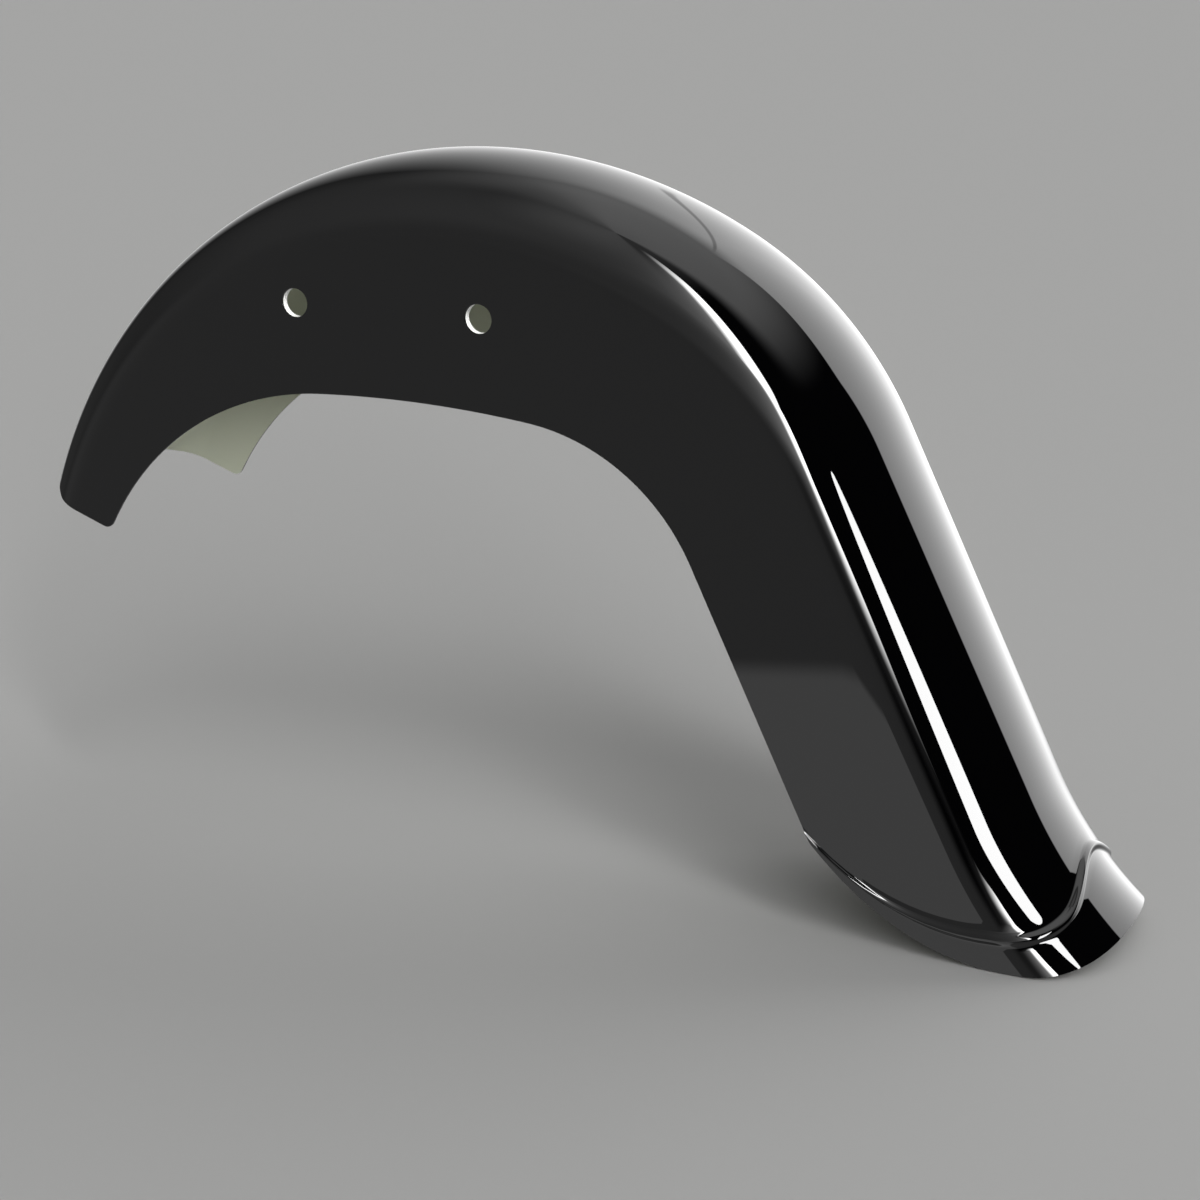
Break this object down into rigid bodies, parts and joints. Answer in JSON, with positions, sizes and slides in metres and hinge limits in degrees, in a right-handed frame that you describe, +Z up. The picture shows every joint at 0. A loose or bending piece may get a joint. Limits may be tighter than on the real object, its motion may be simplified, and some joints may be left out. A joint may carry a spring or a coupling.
{
  "type": "motorcycle rear fender",
  "caption": "Pressed steel rear fender with domed crown, flat side panels with strut holes and welded bushes, and a kicked-out tail with a raised bead above a plain lip",
  "frame": {"origin": "middle of the two strut-hole axes, half-way between the two side panels", "axes": "+X to the rear of the machine, +Z up, Y across; the strut-hole axes run along Y and lie on the line Z = 0"},
  "size_m": [0.9255, 0.196, 0.5516],
  "materials": {
    "gloss_black_paint": "deep gloss black paint over pressed steel",
    "bush_steel": "bare machined steel"
  },
  "bodies": {
    "root": {"fender": "gloss_black_paint", "strut_bushes": "bush_steel"}
  },
  "joints": []
}
